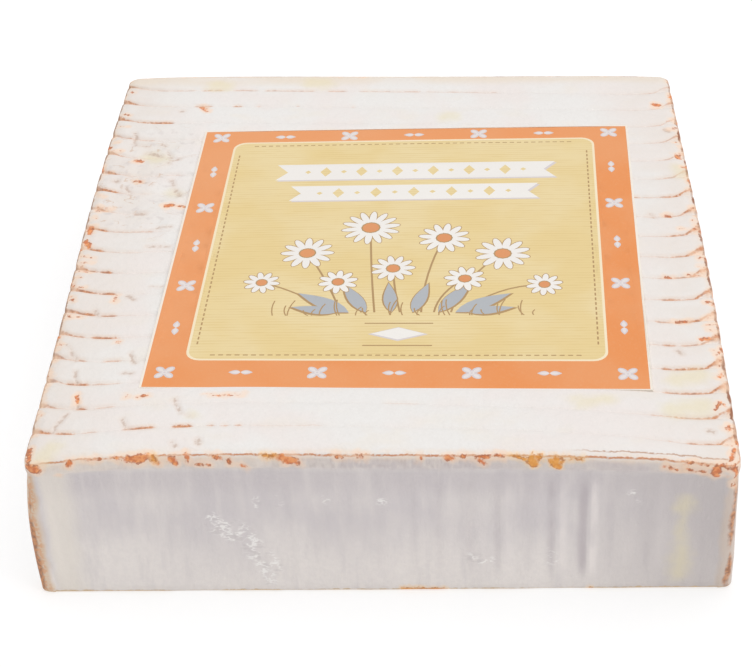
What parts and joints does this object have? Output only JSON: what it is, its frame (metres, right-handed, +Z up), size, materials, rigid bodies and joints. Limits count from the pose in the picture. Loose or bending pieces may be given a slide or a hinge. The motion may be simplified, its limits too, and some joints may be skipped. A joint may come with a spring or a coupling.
{
  "type": "washed-rind cheese",
  "caption": "Flat square slab of soft sheep milk cheese with a grooved, white-bloomed orange rind, a soft lip round the top edge and a square paper label.",
  "frame": {"origin": "middle of the underside", "axes": "+Z up through the label, -Y towards the front face, +X to the right"},
  "size_m": [0.1572, 0.171, 0.0392],
  "materials": {
    "rind": "soft white bloom over an orange rind, slightly waxy",
    "label": "printed uncoated paper, faintly damp"
  },
  "bodies": {
    "root": {"cheese": "rind", "label": "label"}
  },
  "joints": []
}
